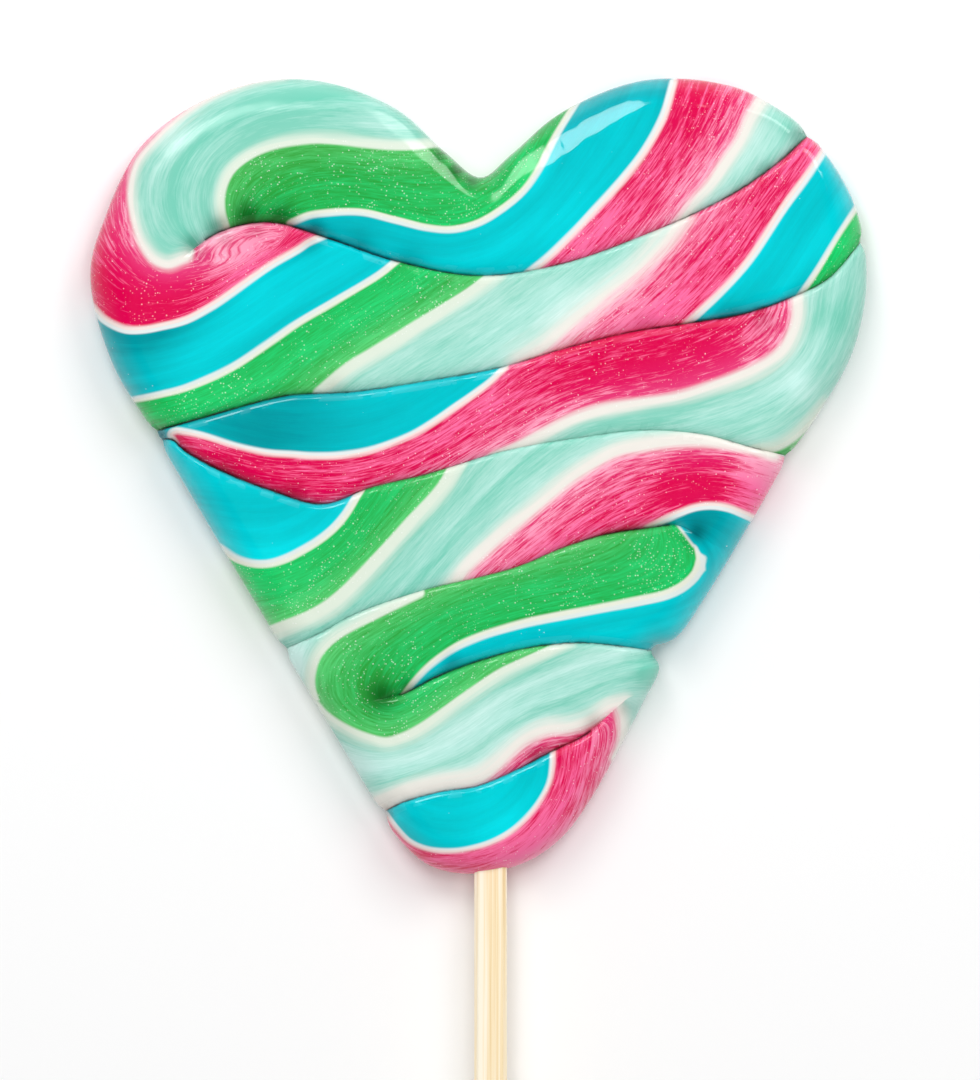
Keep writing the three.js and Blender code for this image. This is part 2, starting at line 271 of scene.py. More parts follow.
def row_grid(lower, upper, left=None, right=None, rim_below=False, rim_above=False):
    low_shares, high_shares = along_edge(lower, rim_below), along_edge(upper, rim_above)
    low = place_at(lower, low_shares * lengths_of(lower)[-1])[:, None]
    high = place_at(upper, high_shares * lengths_of(upper)[-1])[:, None]
    height = np.linalg.norm(high - low, axis=2)[:, 0]
    longest = height.max() if left is None else max(lengths_of(s)[-1] for s in (left, right))
    shares = step_shares(height, RIM_STEPS if rim_below else CREASE_STEPS,
                         RIM_STEPS if rim_above else CREASE_STEPS,
                         max(2, round(longest / STEP_ACROSS) - 4))
    places = low + shares[..., None] * (high - low)
    if left is not None:
        across = ((low_shares + high_shares) / 2)[:, None, None]
        bent = (1 - across) * bend_of(left, shares) + across * bend_of(right, shares)
        places[:, 1:-1] += bent[:, 1:-1]
    on_rim = np.zeros(places.shape[:2], bool)
    on_rim[[0, -1]] = True
    on_rim[:, 0] |= rim_below
    on_rim[:, -1] |= rim_above
    return places, on_rim


# %% The rim between two of its lengths
def rim_stretch(start, end):
    total = lengths_of(outline)[-1]
    if end < start:
        end += total
    twice = np.vstack([outline, outline[1:]])
    lengths = lengths_of(twice)
    inside = twice[(lengths > start) & (lengths < end)]
    return np.vstack([place_at(outline, start), inside, place_at(outline, end % total)])


# %% All seven rows, from the top to the tip
grids = [row_grid(creases[0]["line"], rim_stretch(*creases[0]["ends"]), rim_above=True)]
for above, below in zip(creases, creases[1:]):
    left = rim_stretch(below["ends"][0], above["ends"][0])
    right = rim_stretch(above["ends"][1], below["ends"][1])[::-1]
    grids.append(row_grid(below["line"], above["line"], left, right))
tip_rim = rim_stretch(creases[-1]["ends"][1], creases[-1]["ends"][0])[::-1]
grids.append(row_grid(tip_rim, creases[-1]["line"], rim_below=True))
print("rows of", [g[0].shape[1] for g in grids], "by", COLUMNS + 1, "places")

# %% Join the rows' shared places
all_places = np.vstack([places.reshape(-1, 2) for places, _ in grids])
all_on_rim = np.concatenate([on_rim.ravel() for _, on_rim in grids])
row_of = np.repeat(np.arange(len(grids)), [g[1].size for g in grids])
_, first_use, vertex_of = np.unique(
    np.round(all_places, 4), axis=0, return_index=True, return_inverse=True)
vertex_of = vertex_of.ravel()
places = all_places[first_use]
on_rim = np.zeros(len(places), bool)
np.logical_or.at(on_rim, vertex_of, all_on_rim)
print(len(places), "places on a face,", on_rim.sum(), "of them on the rim")

# %% [markdown]
# ## The heights of the two faces
#
# Seen in section the heart is a slab with rounded edges: flat where the press touched it, and
# rolled over at the rim and into each crease. A bevel modifier can't follow creases that fade
# out, so each place gets its height from how far it is from the rim and from the creases.
# A shallow crown and a slow waviness keep the faces from looking machined: hot sugar slumps a
# little as it cools. The back lay on a slab, so its creases are shallow.

# %% Distances from the rim and from each crease
EDGE_REACH, EDGE_FULLNESS = 4.2, 2.2
REACH_ABOVE, REACH_BELOW = 1.9, 0.6       # how far a crease rounds its upper and lower row
BACK_CREASE_SHARE = 0.6
CROWN_REACH, CROWN_DROP = 11, 0.3
MID = heart_high[2] / 2
rim_gap = nearest_on(outline, places)[0]
rim_gap[on_rim] = 0
crease_gap = np.zeros((len(creases), len(places)))
crease_strength = np.zeros_like(crease_gap)
crease_reach = np.zeros_like(crease_gap)
crease_depth = np.zeros_like(crease_gap)
for k, crease in enumerate(creases):
    crease_gap[k], crease_run, side = nearest_on(crease["line"], places)
    crease_strength[k] = strength_along(crease, crease_run)
    crease_reach[k] = np.where(side > 0, REACH_BELOW, REACH_ABOVE)
    share_along = crease_run / lengths_of(crease["line"])[-1]
    crease_depth[k] = np.interp(share_along, *zip(*CREASE_DEPTHS[k])) * crease_strength[k]
print("furthest from the rim", rim_gap.max().round(1), "mm")

# %% A sharper edge and a sloping band around the notch
# The mould was tighter there, and left a sloping band inside the rounded edge. Around each of
# these places the edge is narrower: by how much, the place, and how far from it that holds.
SHARPER_EDGES = [
    (3.2, -8, 39.5, 10), (1.5, 13, 43, 10), (2.2, 38, 40, 9), (2.1, 5, 37.5, 4)]
SLOPE_MIDDLE, SLOPE_REACH, SLOPE_SOFTNESS = (3, 41), 15, 0.4
# By x: how far it drops per mm, and how far from the rim it starts.
SLOPE_DROPS = [(-2, 0.43), (4, 0.34)]
SLOPE_STARTS = [(-14, 2.8), (-8, 2.6), (-3, 2.3), (1, 2.3), (5, 2.8), (10, 4.1)]
UNEVEN_START, MORE_UNEVEN_RIGHT = 0.06, 0.19


def near(x, y, reach):
    """1 for the places about (x, y), falling to 0 past the reach."""
    return np.exp(-(np.linalg.norm(places - (x, y), axis=1) / reach) ** 4)


edge_reach = np.full(len(places), EDGE_REACH)
for less, *spot in SHARPER_EDGES:
    edge_reach -= less * near(*spot)
across_face, up_face = places.T
uneven = np.sin(across_face * 2.4 + 1.6 * np.sin((across_face + up_face) * 1.3))
uneven *= UNEVEN_START + MORE_UNEVEN_RIGHT * smoothstep(across_face, 4, 9)
down_slope = np.interp(across_face, *zip(*SLOPE_STARTS)) + uneven - rim_gap
down_slope = (down_slope + np.hypot(down_slope, SLOPE_SOFTNESS)) / 2
drop_per_mm = np.interp(across_face, *zip(*SLOPE_DROPS))
slope_drop = drop_per_mm * down_slope * near(*SLOPE_MIDDLE, SLOPE_REACH)
print("the edge is", edge_reach.min().round(1), "to", edge_reach.max().round(1), "mm wide")

# %% Rounded shoulders at the rim and the creases
def shoulder(gap, reach, fullness):
    """A rounded edge's share of its full height: 0 at the edge, 1 from the reach inwards."""
    inwards = np.clip(1 - gap / reach, 0, 1)
    return (1 - inwards**fullness) ** (1 / fullness)


edge = shoulder(rim_gap, edge_reach, EDGE_FULLNESS)
sink = ((1 - shoulder(crease_gap, crease_reach, 2)) * crease_depth).max(axis=0)
print("creases sink by up to", sink.max().round(2), "mm and the sloping band by",
      (edge * slope_drop).max().round(2), "mm")

# %% Slow waves, ripples, and puckers beside the creases
WAVE, RIPPLE, PUCKER = 0.05, 0.02, 0.02        # heights in mm
PUCKER_REACH = 1.3                             # from a crease


def waviness(across, up):
    """Crossed waves. Each has its rate, and the size and rate of the sway that bends it."""
    return (np.sin(across_face * across[0] + across[1] * np.sin(up_face * across[2]))
            * np.sin(up_face * up[0] + up[1] * np.sin(across_face * up[2])))


slump = CROWN_DROP * (1 - np.clip(rim_gap / CROWN_REACH, 0, 1)) ** 2
slump += WAVE * (1 + waviness((0.31, 1.3, 0.17), (0.27, 1.1, 0.13)))
slump += RIPPLE * (1 + waviness((1.9, 1.7, 0.8), (1.6, 1.5, 0.7)))
puckers = PUCKER * np.clip(waviness((3.1, 2, 2.3), (2.7, 2, 2.9)), 0, None)
puckers *= np.exp(-((crease_gap / PUCKER_REACH) ** 2)).max(axis=0)
slump += puckers + slope_drop
top_height = MID + edge * (MID - slump - sink)
bottom_height = MID - edge * (MID - BACK_CREASE_SHARE * sink)
print("top", top_height.max().round(2), "mm; bottom", bottom_height.min().round(2), "mm")

# %% [markdown]
# ## The stripes
#
# The rope was rolled from sticks of pink, mint, green and turquoise sugar with white and cream
# sugar between them, then twisted. So each row shows stripes that slant and curve, always in
# the same order. A picture could be laid on the heart, but this model carries no pictures, and
# a wave texture can't follow the folds. Here the lines between the colours are given,
# and a number is spread over the face between them: it is whole on each line between two
# colours and rises by one from line to line. The shader turns that number into colours and
# into streaks that flow with the stripes, as pulled sugar's do.

# %% The lines between the colours
# Each has its number, the rows it crosses, the half-width of its white or cream sugar at its
# two ends, how widely that fades, and its knots. Numbers rise to the right of a line. The one
# with a negative half-width has no white sugar: it only keeps mint out of the left fold.
STRIPE_LINES = [
    (1, (0, 1), (0.8, 0.2), 1, [
        (-35.4, 25.8), (-37, 25.2), (-38.6, 25.8), (-40, 27.6), (-40.9, 30), (-41.4, 33.5),
        (-40.8, 37), (-38.4, 40.1), (-35.2, 43.1), (-31.3, 45.5), (-27, 47), (-24, 47.7)]),
    (0.96, (1,), (-1, -1), 1, [(-33.2, 27.4), (-31, 28.8), (-28.5, 29.7), (-25, 30)]),
    (2, (0,), (0.6, 0.6), 1, [
        (-30.3, 29.7), (-30.8, 31.5), (-30.8, 33.7), (-29.8, 36.2), (-27.5, 38.2), (-24.2, 39.5),
        (-20, 40.1), (-17, 40), (-13, 39.6), (-8, 39.4), (-4.7, 39.8)]),
    (3, (0,), (0.41, 0.41), 1, [
        (-22, 30.3), (-20.5, 30.9), (-19, 31.2), (-14, 31.4), (-10, 30.5), (-6, 29.5),
        (-3, 29.3), (0.1, 30.1), (3.1, 31.9), (5.5, 34), (7.3, 36.6), (8.9, 39.8), (11.8, 44.6)]),
    (4, (0,), (0.46, 0.46), 1, [
        (6.2, 24.2), (8.3, 25.9), (11.4, 28.9), (14.4, 32.1), (17.4, 35.5), (20, 38.9),
        (22.2, 42.9), (23.3, 46.6)]),
    (5, (0,), (0.6, 0.85), 1, [
        (24.2, 30.5), (25.7, 32.5), (27.8, 34.8), (29.6, 37.4), (31.4, 39.9), (32.6, 42.5),
        (34.1, 45)]),
    (0, (1,), (0.46, 0.46), 1, [
        (-18.8, 28.4), (-20.3, 27.7), (-21.3, 27), (-24.9, 24.9), (-29.9, 21.4), (-31.9, 20.1),
        (-34.9, 18.5), (-37.9, 17.7), (-40, 17.3), (-42, 17.3), (-43.5, 17.8), (-45, 18.7),
        (-46, 19.7)]),
    (-1, (1,), (0.41, 0.41), 1, [
        (-9.8, 25.5), (-11.8, 23.9), (-16.8, 20.9), (-21.9, 17.9), (-24.9, 15.8), (-29.8, 12.6),
        (-34.9, 10.4), (-38, 9.6), (-40, 9.2), (-42.2, 8.9)]),
    (-2, (1,), (0.8, 0.8), 1, [
        (1.9, 23.7), (-0.7, 21.7), (-8.1, 17.2), (-12.3, 14.6), (-15.3, 12.7), (-18.5, 10)]),
    (-3, (1,), (1.1, 1.1), 2, [
        (24, 30.3), (21.4, 26.9), (18, 23.6), (15.2, 21.5), (10.2, 17.4), (7.9, 15.4),
        (5.5, 13.9)]),
    (-4, (1,), (0.46, 0.46), 1, [
        (41.6, 39), (38.8, 34.9), (36.7, 32), (33.1, 26.5), (31, 23.9), (28.7, 21.5),
        (26.8, 19.7), (25.3, 18.3)]),
    (-5, (1,), (0.36, 0.36), 1, [
        (45.5, 32.2), (43.2, 28.8), (40.8, 24.8), (38.6, 21.5)]),
    (4, (2,), (0.38, 0.38), 1, [
        (-36.5, 4.1), (-36.9, 4.8), (-36.3, 5.3), (-35.2, 5.2), (-33, 4.75), (-29, 3.5),
        (-25, 2.65), (-22, 2.45), (-20, 2.3), (-17, 2.3), (-14, 2.7), (-11.8, 3.3), (-7.8, 4.9),
        (-4.8, 6.7), (-2.8, 8.1), (1.2, 10.9), (2.8, 12.4)]),
    (5, (2,), (0.7, 0.85), 1, [
        (2.4, 2.3), (4.9, 3.4), (8.2, 5.1), (12.2, 6.9), (16.1, 7.9), (20, 8.5), (24, 9.2),
        (27.1, 10.1), (32.6, 12.1), (35, 13.4), (36.8, 15), (37.8, 17), (38.3, 19), (38.2, 21.4)]),
    (6, (2,), (0.6, 0.6), 1, [
        (33.8, 3), (35.8, 3.4), (37.8, 4.6), (39.6, 6.2), (41.3, 8)]),
    (3, (3,), (0.48, 0.48), 1, [
        (-14.3, -2.2), (-15.8, -4.6), (-17.2, -6.3), (-19, -7.8), (-21, -9), (-23, -10),
        (-25, -10.6), (-27, -10.6), (-29, -10), (-30.6, -9)]),
    (2, (3,), (0.9, 0.9), 1, [
        (-2.6, 1), (-4, -1.4), (-8, -5.9), (-12, -10.3), (-16, -14.4), (-18, -16), (-20, -17.1),
        (-24.4, -18.8)]),
    (1, (3,), (0.9, 0.9), 1, [
        (34.9, 2.7), (32, 3.5), (29, 4.1), (26, 4.3), (23, 4.1), (20, 3.7), (16.5, 2.9),
        (13.6, 1.4), (11, -0.3), (7.8, -2.8), (1.6, -8), (-1.6, -11), (-3, -12.9)]),
    (0, (3,), (0.43, 0.43), 1, [
        (33.2, -5.3), (31.8, -4.7), (30, -4), (28, -3.7), (26, -3.9), (24, -4.6), (22.3, -5.4),
        (20.8, -6.2)]),
    (-1, (4,), (0.4, 0.62), 1, [
        (-8.8, -26.3), (-8, -25.2), (-6, -23), (-3, -20.8), (0, -19.4), (5, -17.9), (10, -16.9),
        (19, -15.1), (22.6, -14.3), (24.5, -13.4), (25.8, -12.3), (26.4, -11.4), (26.6, -10.7)]),
    (-1, (4,), (0.6, 0.12), 1, [(26.6, -10.7), (26.5, -9.9), (26.2, -9.1)]),
    (-1, (4,), (0.12, 0.12), 1, [(26.2, -9.1), (25.3, -7.9), (24.6, -7), (24, -6.2)]),
    (-2, (4,), (0.6, 0.6), 1, [
        (-19.5, -27.3), (-20, -25.6), (-20, -24), (-19.3, -21.7), (-17.6, -19.7),
        (-15.5, -18.3), (-13, -17), (-10, -15.5), (-7.5, -14.3)]),
    (-2, (5,), (0.6, 0.6), 1, [
        (10.4, -20.2), (8.3, -21.2), (5.2, -22.6), (2.6, -23.9), (-2, -27), (-6.5, -30.2),
        (-9, -31.5), (-11, -32), (-13, -31.6), (-15.5, -30.6), (-18.2, -28.9),
        (-19.7, -27.3)]),
    (-3, (5,), (0.7, 1.4), 1, [
        (17, -27.3), (15.6, -27.7), (13.5, -29.2), (11, -30), (8.3, -30.2), (5.5, -31.4),
        (3.4, -33.2), (1.8, -34.7), (0, -36), (-4.5, -36.9), (-9, -38.2), (-11.8, -39.6)]),
    (-3, (6,), (0.6, 0.6), 1, [
        (16.7, -33.4), (17, -32.8), (17.4, -31), (17.2, -28.8), (16.7, -27.4)]),
    (-4, (6,), (0.27, 0.27), 1, [
        (-10.7, -41), (-9.7, -42.3), (-8.2, -43.8), (-6, -44.7), (-3, -44.9), (0, -44.4),
        (2, -43.7), (4.2, -42.4), (6, -40.7), (7.5, -38.7), (8.5, -36.7), (8.8, -35),
        (8.9, -33.1)]),
]
print(len(STRIPE_LINES), "lines between colours")

# %% Points that carry the stripes' number
# A crease cuts the face in two as far as colours go, so its places count twice, once for each
# row, except where the crease has faded out.
ON_LINE = 1e-6             # a place this near a crease lies on it
FADED = 0.5                # a crease weaker than this no longer parts the colours
on_crease = crease_gap < ON_LINE
weak = (on_crease & (crease_strength < FADED)).any(axis=0)[vertex_of]
keys = vertex_of * (len(grids) + 1) + np.where(weak, 0, row_of + 1)
_, first_use, node_of = np.unique(keys, return_index=True, return_inverse=True)
node_of = node_of.ravel()
node_vertex, node_row = vertex_of[first_use], row_of[first_use]
node_place = places[node_vertex]
print(len(node_place), "points carry the number")

# %% A coarser grid to spread the number on
# The thin cells at the rim and the creases would only slow the spreading down, so it runs on
# the grid without them, and they are filled in from the cells beside them.
offsets = np.concatenate([[0], np.cumsum([g[1].size for g in grids])])
numbers_in = [offset + np.arange(g[1].size).reshape(g[1].shape)
              for (g, offset) in zip(grids, offsets)]
KEPT_RIM, KEPT_CREASE = [0, 5, 7, 8], [0, 3]
FINE_PLACES = {len(KEPT_RIM): len(RIM_STEPS), len(KEPT_CREASE): len(CREASE_STEPS)}


def kept_steps(count, first, last):
    """Which places of a line stay: few in its fine zones, all of them between."""
    middle = range(FINE_PLACES[len(first)], count - FINE_PLACES[len(last)])
    return np.array([*first, *middle, *[count - 1 - i for i in reversed(last)]])


def weights_for(run, kept):
    return np.array([np.interp(run, run[kept], unit) for unit in np.eye(len(kept))]).T


coarse = []
for row, (grid, _) in enumerate(grids):
    along = kept_steps(len(grid), KEPT_RIM, KEPT_RIM)
    across = kept_steps(len(grid[0]), KEPT_RIM if row == len(grids) - 1 else KEPT_CREASE,
                        KEPT_RIM if row == 0 else KEPT_CREASE)
    run_along = lengths_of(grid[:, grid.shape[1] // 2])
    run_across = lengths_of(grid[len(grid) // 2])
    coarse.append((along, across, weights_for(run_along, along),
                   weights_for(run_across, across)))
print("coarse rows of", [len(c[1]) for c in coarse], "by", len(coarse[0][0]), "places")

# %% Quads of the face and triangles of the coarse grid
SLIVER = 1e-3              # a triangle of less than half this many square mm is left out


def quads_of(numbers):
    return np.stack([numbers[:-1, :-1], numbers[1:, :-1], numbers[1:, 1:], numbers[:-1, 1:]],
                    axis=-1).reshape(-1, 4)


quads = np.vstack([quads_of(numbers) for numbers in numbers_in])
quad_nodes = node_of[quads]
coarse_quads = node_of[np.vstack([quads_of(numbers[np.ix_(c[0], c[1])])
                                  for numbers, c in zip(numbers_in, coarse)])]
triangles = np.vstack([coarse_quads[:, [0, 1, 2]], coarse_quads[:, [0, 2, 3]]])
corner = node_place[triangles]
side_ab, side_ac = corner[:, 1] - corner[:, 0], corner[:, 2] - corner[:, 0]
double_area = side_ab[:, 0] * side_ac[:, 1] - side_ab[:, 1] * side_ac[:, 0]
kept = double_area > SLIVER
triangles, corner, double_area = triangles[kept], corner[kept], double_area[kept]
print(len(quads), "quads on a face,", len(triangles), "triangles to spread over")


def fill_in(values):
    """Gives the places that the coarse grid skips their values."""
    for numbers, (along, across, along_weights, across_weights) in zip(numbers_in, coarse):
        known = values[node_of[numbers[np.ix_(along, across)]]]
        values[node_of[numbers]] = along_weights @ known @ across_weights.T
    return values


# %% How a value slopes over each triangle
facing = np.roll(corner, -2, 1) - np.roll(corner, -1, 1)
slope_of = np.stack([-facing[..., 1], facing[..., 0]], axis=-1) / double_area[:, None, None]
area = double_area / 2


def stiffness(stretch=np.eye(2)):
    """What it costs each triangle's corners to differ, along each direction."""
    return area[:, None, None] * slope_of @ stretch @ slope_of.transpose(0, 2, 1)


# %% Spread values smoothly from where they are held
def spread(cost, held, values, push=0.0, tries=600, goal=1e-5):
    """Conjugate gradients: the values that cost least and keep the held ones."""
    count = len(values)
    corners = triangles.ravel()
    free = ~held

    def pull(given):
        forces = np.einsum("tij,tj->ti", cost, given[triangles])
        return np.bincount(corners, forces.ravel(), count)

    weights = np.bincount(corners, cost[:, [0, 1, 2], [0, 1, 2]].ravel(), count)
    weights = np.where(weights > 0, weights, 1)
    values = values.copy()
    left_over = (push - pull(values)) * free
    step = direction = left_over / weights
    size = (left_over * step).sum()
    first_size = size
    for turn in range(tries):
        if size <= goal**2 * first_size:
            break
        pulled = pull(direction) * free
        share = size / (direction * pulled).sum()
        values += share * direction
        left_over -= share * pulled
        step = left_over / weights
        size, old_size = (left_over * step).sum(), size
        direction = step + size / old_size * direction
    print("  spread in", turn, "turns")
    return values


# %% Measure every point against its row's lines
HOLD = 0.5              # how near a line the number is held
PAST_END = 0.6          # a line runs this far past its ends, into the rim or the crease
LINE_REACH = 16         # places further off aren't measured against a line
UNMEASURED = 30.0       # the gap where no line comes near
HALF_STEP = 0.3         # along a line, to tell its heading
STRIPE_WIDTH = 9.0
held = np.zeros(len(node_place), bool)
number = np.zeros(len(node_place))
flow = np.zeros((len(node_place), 2))
hold_gap = np.full(len(node_place), np.inf)
line_gap = np.full(len(node_place), UNMEASURED)
line_width = np.zeros(len(node_place))
shared = np.zeros(len(node_place), bool)
np.logical_or.at(shared, node_of, weak)
for value, rows, widths, fade, knots in STRIPE_LINES:
    line = catmull_rom(knots, per_span=8)
    first, last = (end / np.linalg.norm(end) * PAST_END
                   for end in (line[0] - line[1], line[-1] - line[-2]))
    line = np.vstack([line[0] + first, line, line[-1] + last])
    low, high = line.min(0) - LINE_REACH, line.max(0) + LINE_REACH
    close = ((node_place > low) & (node_place < high)).all(1) & (np.isin(node_row, rows) | shared)
    chosen = np.flatnonzero(close)
    gap, along, side = nearest_on(line, node_place[chosen])
    total = lengths_of(line)[-1]
    half_width = np.interp(along / total, [0, 1], widths)
    nearer = (gap - half_width) / fade < line_gap[chosen] - line_width[chosen]
    beside = chosen[nearer]
    line_gap[beside] = gap[nearer] / fade
    line_width[beside] = half_width[nearer] / fade
    inside = (gap < HOLD) & (along > 0) & (along < total) & (gap < hold_gap[chosen])
    grip = chosen[inside]
    hold_gap[grip] = gap[inside]
    held[grip] = True
    number[grip] = value + side[inside] * gap[inside] / STRIPE_WIDTH
    ahead = place_at(line, np.minimum(along[inside] + HALF_STEP, total))
    behind = place_at(line, np.maximum(along[inside] - HALF_STEP, 0))
    flow[grip] = (ahead - behind) / np.linalg.norm(ahead - behind, axis=1)[:, None]
print(held.sum(), "points lie on a line")

# %% Which way the stripes run between the lines
plain_cost = stiffness()
for k in (0, 1):
    flow[:, k] = spread(plain_cost, held, flow[:, k])
tri_flow = flow[triangles].mean(axis=1)
tri_flow /= np.linalg.norm(tri_flow, axis=1)[:, None] + 1e-9
print("the stripes' direction is spread")

# %% The number itself, which changes across the stripes and not along them
ACROSS_COST = 0.08         # of what it costs to change along them
rises = np.stack([tri_flow[:, 1], -tri_flow[:, 0]], axis=1) / STRIPE_WIDTH
stretch = tri_flow[:, :, None] * tri_flow[:, None] * (1 - ACROSS_COST)
stretch += ACROSS_COST * np.eye(2)
push = area[:, None] * ACROSS_COST * np.einsum("tid,td->ti", slope_of, rises)
push = np.bincount(triangles.ravel(), push.ravel(), len(number))
start = spread(plain_cost, held, number)
number = fill_in(spread(stiffness(stretch), held, start, push))
print("the number runs from", number.min().round(2), "to", number.max().round(2))

# %% Keep each row within its own colours
MOST_PAST = 0.93           # past a row's last lines the number stops just before the next one
for row in range(len(grids)):
    own = [value for value, rows, *_ in STRIPE_LINES if row in rows]
    members = (node_row == row) & ~shared
    number[members] = np.clip(number[members], min(own) - MOST_PAST, max(own) + MOST_PAST)
    print("row", row + 1, "has the lines", min(own), "to", max(own))

# %% Give the gaps a sign
# It changes across every line, so a gap falls straight through zero there and keeps the line
# crisp between two points. Halfway between two lines it is the same from both sides.
line_gap *= 1 - 2 * (np.floor(number) % 2)
print(round((line_gap < 0).mean() * 100), "% of the points have a negative gap")

# %% Deeper and paler patches, some of them painted highlight and shade
# Sugar is deeper where it is thick or folded; other patches are painted highlight or painted shade.
# In each row or rows, every patch has its middle, its reach and how much paler it is; a negative one
# is deeper.
TONE_AND_LIGHT_PATCHES = {
    (0,): [(-18, 35.5, 11, -0.25), (-25, 33, 4, -0.1), (-37.5, 41.5, 2.5, 0.5),
        (-34, 34, 3.5, -0.05), (-24, 43.5, 7, -0.25), (-12, 42.5, 3, 0.2), (5.5, 37, 2.4, 0.6),
        (5, 28, 8, 0.1), (26.5, 42.5, 4, -0.6), (13, 28, 4, 0.25), (34, 39, 3, 0.2),
        (-44.5, 34, 3, -0.7)],
    (0, 1): [(-40, 21.5, 5.5, -0.95), (-45, 27, 4, -0.25)],
    (1,): [(-29, 26.5, 4.5, 0.5), (-35, 23.5, 3.5, -0.5), (-26, 29.2, 3, -0.2),
        (-22, 28, 2.2, -0.2), (-42, 14, 5, -0.25), (-28, 17.5, 8, 0.1), (-13, 19, 8, 0.15),
        (-33, 9, 5, 0.3), (2, 18, 5, 0.25), (10, 20, 4, 0.4), (34, 34, 4, -0.3),
        (18, 20, 5, 0.45), (36, 27, 5, 0.1), (44, 27, 3, 0.3)],
    (2,): [(-24, 6, 10, -0.35), (-28, 1, 8, -0.3), (17, 14, 9, -0.8), (29, 15, 5, -0.6),
        (25, 11, 4, -0.4), (44, 12, 6, -0.05), (38.5, 10.5, 2, 0.5), (41.5, 19, 3, -0.35),
        (26, 7, 4, 0.1)],
    (3,): [(-24, -13, 6, 0.35), (26, -1, 5, -0.9), (34, -1.5, 3, 0.9)],
    (3, 4): [(28, -8, 3, -0.25)],
    (4,): [(23, -10, 4, 0.1), (-22, -23, 2.5, 0.8)],
    (4, 5): [(-12.5, -25.5, 3, -0.6), (-18, -22, 3, 0.15)],
    (5,): [(-3, -32, 8, 0.25), (20.7, -23.5, 2, -0.6), (8, -24, 4, -0.1), (-15, -34, 4, 0.3)],
    (5, 6): [(15, -30, 4, -0.1)],
    (6,): [(5, -45, 6, 0.6)],
}
# Painted shade on the sloping band: its colour is painted a little darker, and a little painted
# shade lies on it too.
BAND_MIDDLE, BAND_REACH = (11, 43), 24
BAND_FADE = (1.8, 3.2)                  # from the rim
BAND_PAINTED_DARKER, BAND_SHADE = 0.25, 0.08


def spots(table):
    """How strong each spot of a table is at every point."""
    for rows, row_spots in table.items():
        for x, y, reach, strength in row_spots:
            gap = np.linalg.norm(node_place - (x, y), axis=1)
            yield strength * np.exp(-((gap / reach) ** 2)) * np.isin(node_row, rows)


node_rim = rim_gap[node_vertex]
band = near(*BAND_MIDDLE, BAND_REACH)[node_vertex] * (node_row == 0)
band *= 1 - smoothstep(node_rim, *BAND_FADE)
tone_and_painted_light = sum(spots(TONE_AND_LIGHT_PATCHES)) - BAND_PAINTED_DARKER * band
print("patches from", tone_and_painted_light.min().round(2), "to", tone_and_painted_light.max().round(2))

# %% Painted shade in the folds
# The same list for spots of painted shade where a fold swallows light, with how dark each is.
FOLD_SHADE_SPOTS = {
    (0,): [(-4.6, 38.2, 1, 0.75), (-2.6, 36.4, 1, 0.85), (-0.8, 35.1, 0.9, 0.7),
        (-34.2, 27.6, 1.2, 0.6), (-31, 29.8, 1.5, 0.75), (-27.6, 31, 1.9, 0.85),
        (-23.6, 30.6, 1.9, 0.8), (-19.5, 29.4, 1.3, 0.7), (-14, 27.7, 1.6, 0.35),
        (-8, 25.6, 1.8, 0.35), (38.2, 40.8, 1.2, 0.5), (34, 36.6, 1, 0.3)],
    (1,): [(-33.4, 26.8, 1.1, 0.4), (-30.4, 28.6, 1.2, 0.4), (-26.5, 29.4, 1.2, 0.3),
        (-20, 27.6, 1.4, 0.3), (-17, 10.2, 1.6, 0.3), (30, 19.4, 1.8, 0.35), (20, 18, 1.5, 0.3)],
    (1, 2, 3): [(-38, 4.9, 0.9, 0.8)],
    (2,): [(34, 18.7, 1.6, 0.35), (-22, -2.2, 1.4, 0.4), (-30, 0.8, 1.2, 0.3)],
    (3, 4): [(26.1, -6.9, 1.4, 0.8)],
    (4,): [(-8.6, -25.4, 1.1, 0.6), (-3, -22.6, 1.3, 0.45)],
    (4, 5): [(-11.6, -26.3, 1.9, 0.75)],
    (5,): [(7, -33.6, 1.4, 0.5), (14, -29.8, 1.2, 0.5)],
    (5, 6): [(-11, -40.6, 0.8, 0.6)],
    (6,): [(17.5, -27.8, 1.2, 0.4)],
}
painted_fold_shade = np.max([BAND_SHADE * band, *spots(FOLD_SHADE_SPOTS)], axis=0)
print("spots_of_painted_shade on", round((painted_fold_shade > 0.1).mean() * 100), "% of the points")

# %% [markdown]
# ## The stripes of the back
#
# The stripes run round the rim and the creases, so the back starts there with the numbers of
# the front and fills in the rest smoothly. At the crease between the two upper rows the rope
# has room for a whole turn, which is four colours more. The colours repeat every four, so
# they still meet.

# %% Carry the number round to the back
TURN = 4                   # colours in a whole turn of the rope
TURNED_CREASE = 0
CLEAR_OF_RIM = 7
back_held = on_rim[node_vertex]
back_number = number.copy()
for k in range(len(creases)):
    on_line = on_crease[k, node_vertex] & ~shared
    on_line &= (node_rim > CLEAR_OF_RIM) & np.isin(node_row, [k, k + 1])
    back_held |= on_line
    back_number[on_line] = number[on_line] - TURN * (k == TURNED_CREASE)
back_number = fill_in(spread(plain_cost, back_held, back_number))
print("the back's number runs from", back_number.min().round(2), "to",
      back_number.max().round(2))

